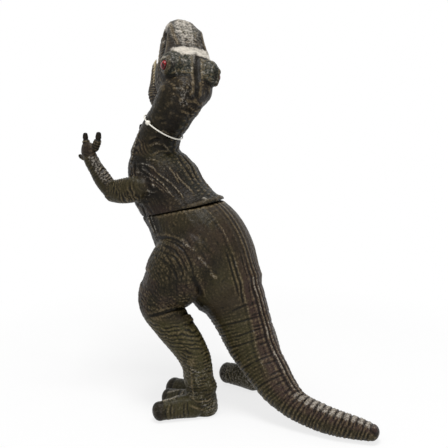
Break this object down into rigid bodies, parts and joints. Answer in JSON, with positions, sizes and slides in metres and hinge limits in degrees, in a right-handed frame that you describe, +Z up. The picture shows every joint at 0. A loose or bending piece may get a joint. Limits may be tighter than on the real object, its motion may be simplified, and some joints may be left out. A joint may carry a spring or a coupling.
{
  "type": "plush dinosaur",
  "caption": "Standing tyrannosaur toy with soft vinyl skins over stuffing, open mouth, red eyes and a long tail to stand on.",
  "frame": {"origin": "on the floor, under the middle of the toy's bounding box", "axes": "+Z up, -Y the way the body faces, +X towards the toy's left"},
  "size_m": [0.2038, 0.3698, 0.4274],
  "materials": {
    "skin": "semi-gloss soft vinyl, dry-brushed over deep wrinkles",
    "stuffing": "loose polyester fibre",
    "teeth": "painted cream",
    "mouth": "semi-gloss",
    "eye": "glossy, dark slit pupil",
    "nylon": "translucent off-white"
  },
  "bodies": {
    "trunk": {"chest_skin": "skin", "hip_skin": "skin", "tail_base_skin": "skin", "left_leg_skin": "skin", "right_leg_skin": "skin", "left_foot": "skin", "right_foot": "skin", "chest_filling": "stuffing", "hip_filling": "stuffing", "tail_base_filling": "stuffing", "left_leg_filling": "stuffing", "right_leg_filling": "stuffing"},
    "neck": {"neck_skin": "skin", "neck_filling": "stuffing", "head_skin": "skin", "head_filling": "stuffing", "lower_jaw": "skin", "left_eye": "eye", "right_eye": "eye", "upper_teeth": "teeth", "lower_teeth": "teeth", "tongue": "mouth", "tag_loop": "nylon", "tag_bead": "nylon"},
    "left_arm": {"left_upper_arm": "skin", "left_forearm": "skin", "left_hand": "skin"},
    "right_arm": {"right_upper_arm": "skin", "right_forearm": "skin", "right_hand": "skin"},
    "tail": {"tail_end_skin": "skin", "tail_end_filling": "stuffing"}
  },
  "joints": [
    {"name": "neck_nod", "type": "hinge", "parent": "trunk", "child": "neck", "pos_m": [0, -0.1129, 0.279], "axis": [1, 0, 0], "range_deg": [-10, 10], "stiffness_Nm_per_rad": 8},
    {"name": "left_arm_swing", "type": "hinge", "parent": "trunk", "child": "left_arm", "pos_m": [0.03, -0.1009, 0.2425], "axis": [1, 0, 0], "range_deg": [-15, 15], "stiffness_Nm_per_rad": 0.8},
    {"name": "right_arm_swing", "type": "hinge", "parent": "trunk", "child": "right_arm", "pos_m": [-0.03, -0.1009, 0.2425], "axis": [1, 0, 0], "range_deg": [-15, 15], "stiffness_Nm_per_rad": 0.8},
    {"name": "tail_swing", "type": "hinge", "parent": "trunk", "child": "tail", "pos_m": [0.005, 0.0396, 0.058], "axis": [0, 0.77, 0.638], "range_deg": [-12, 12], "stiffness_Nm_per_rad": 4}
  ]
}
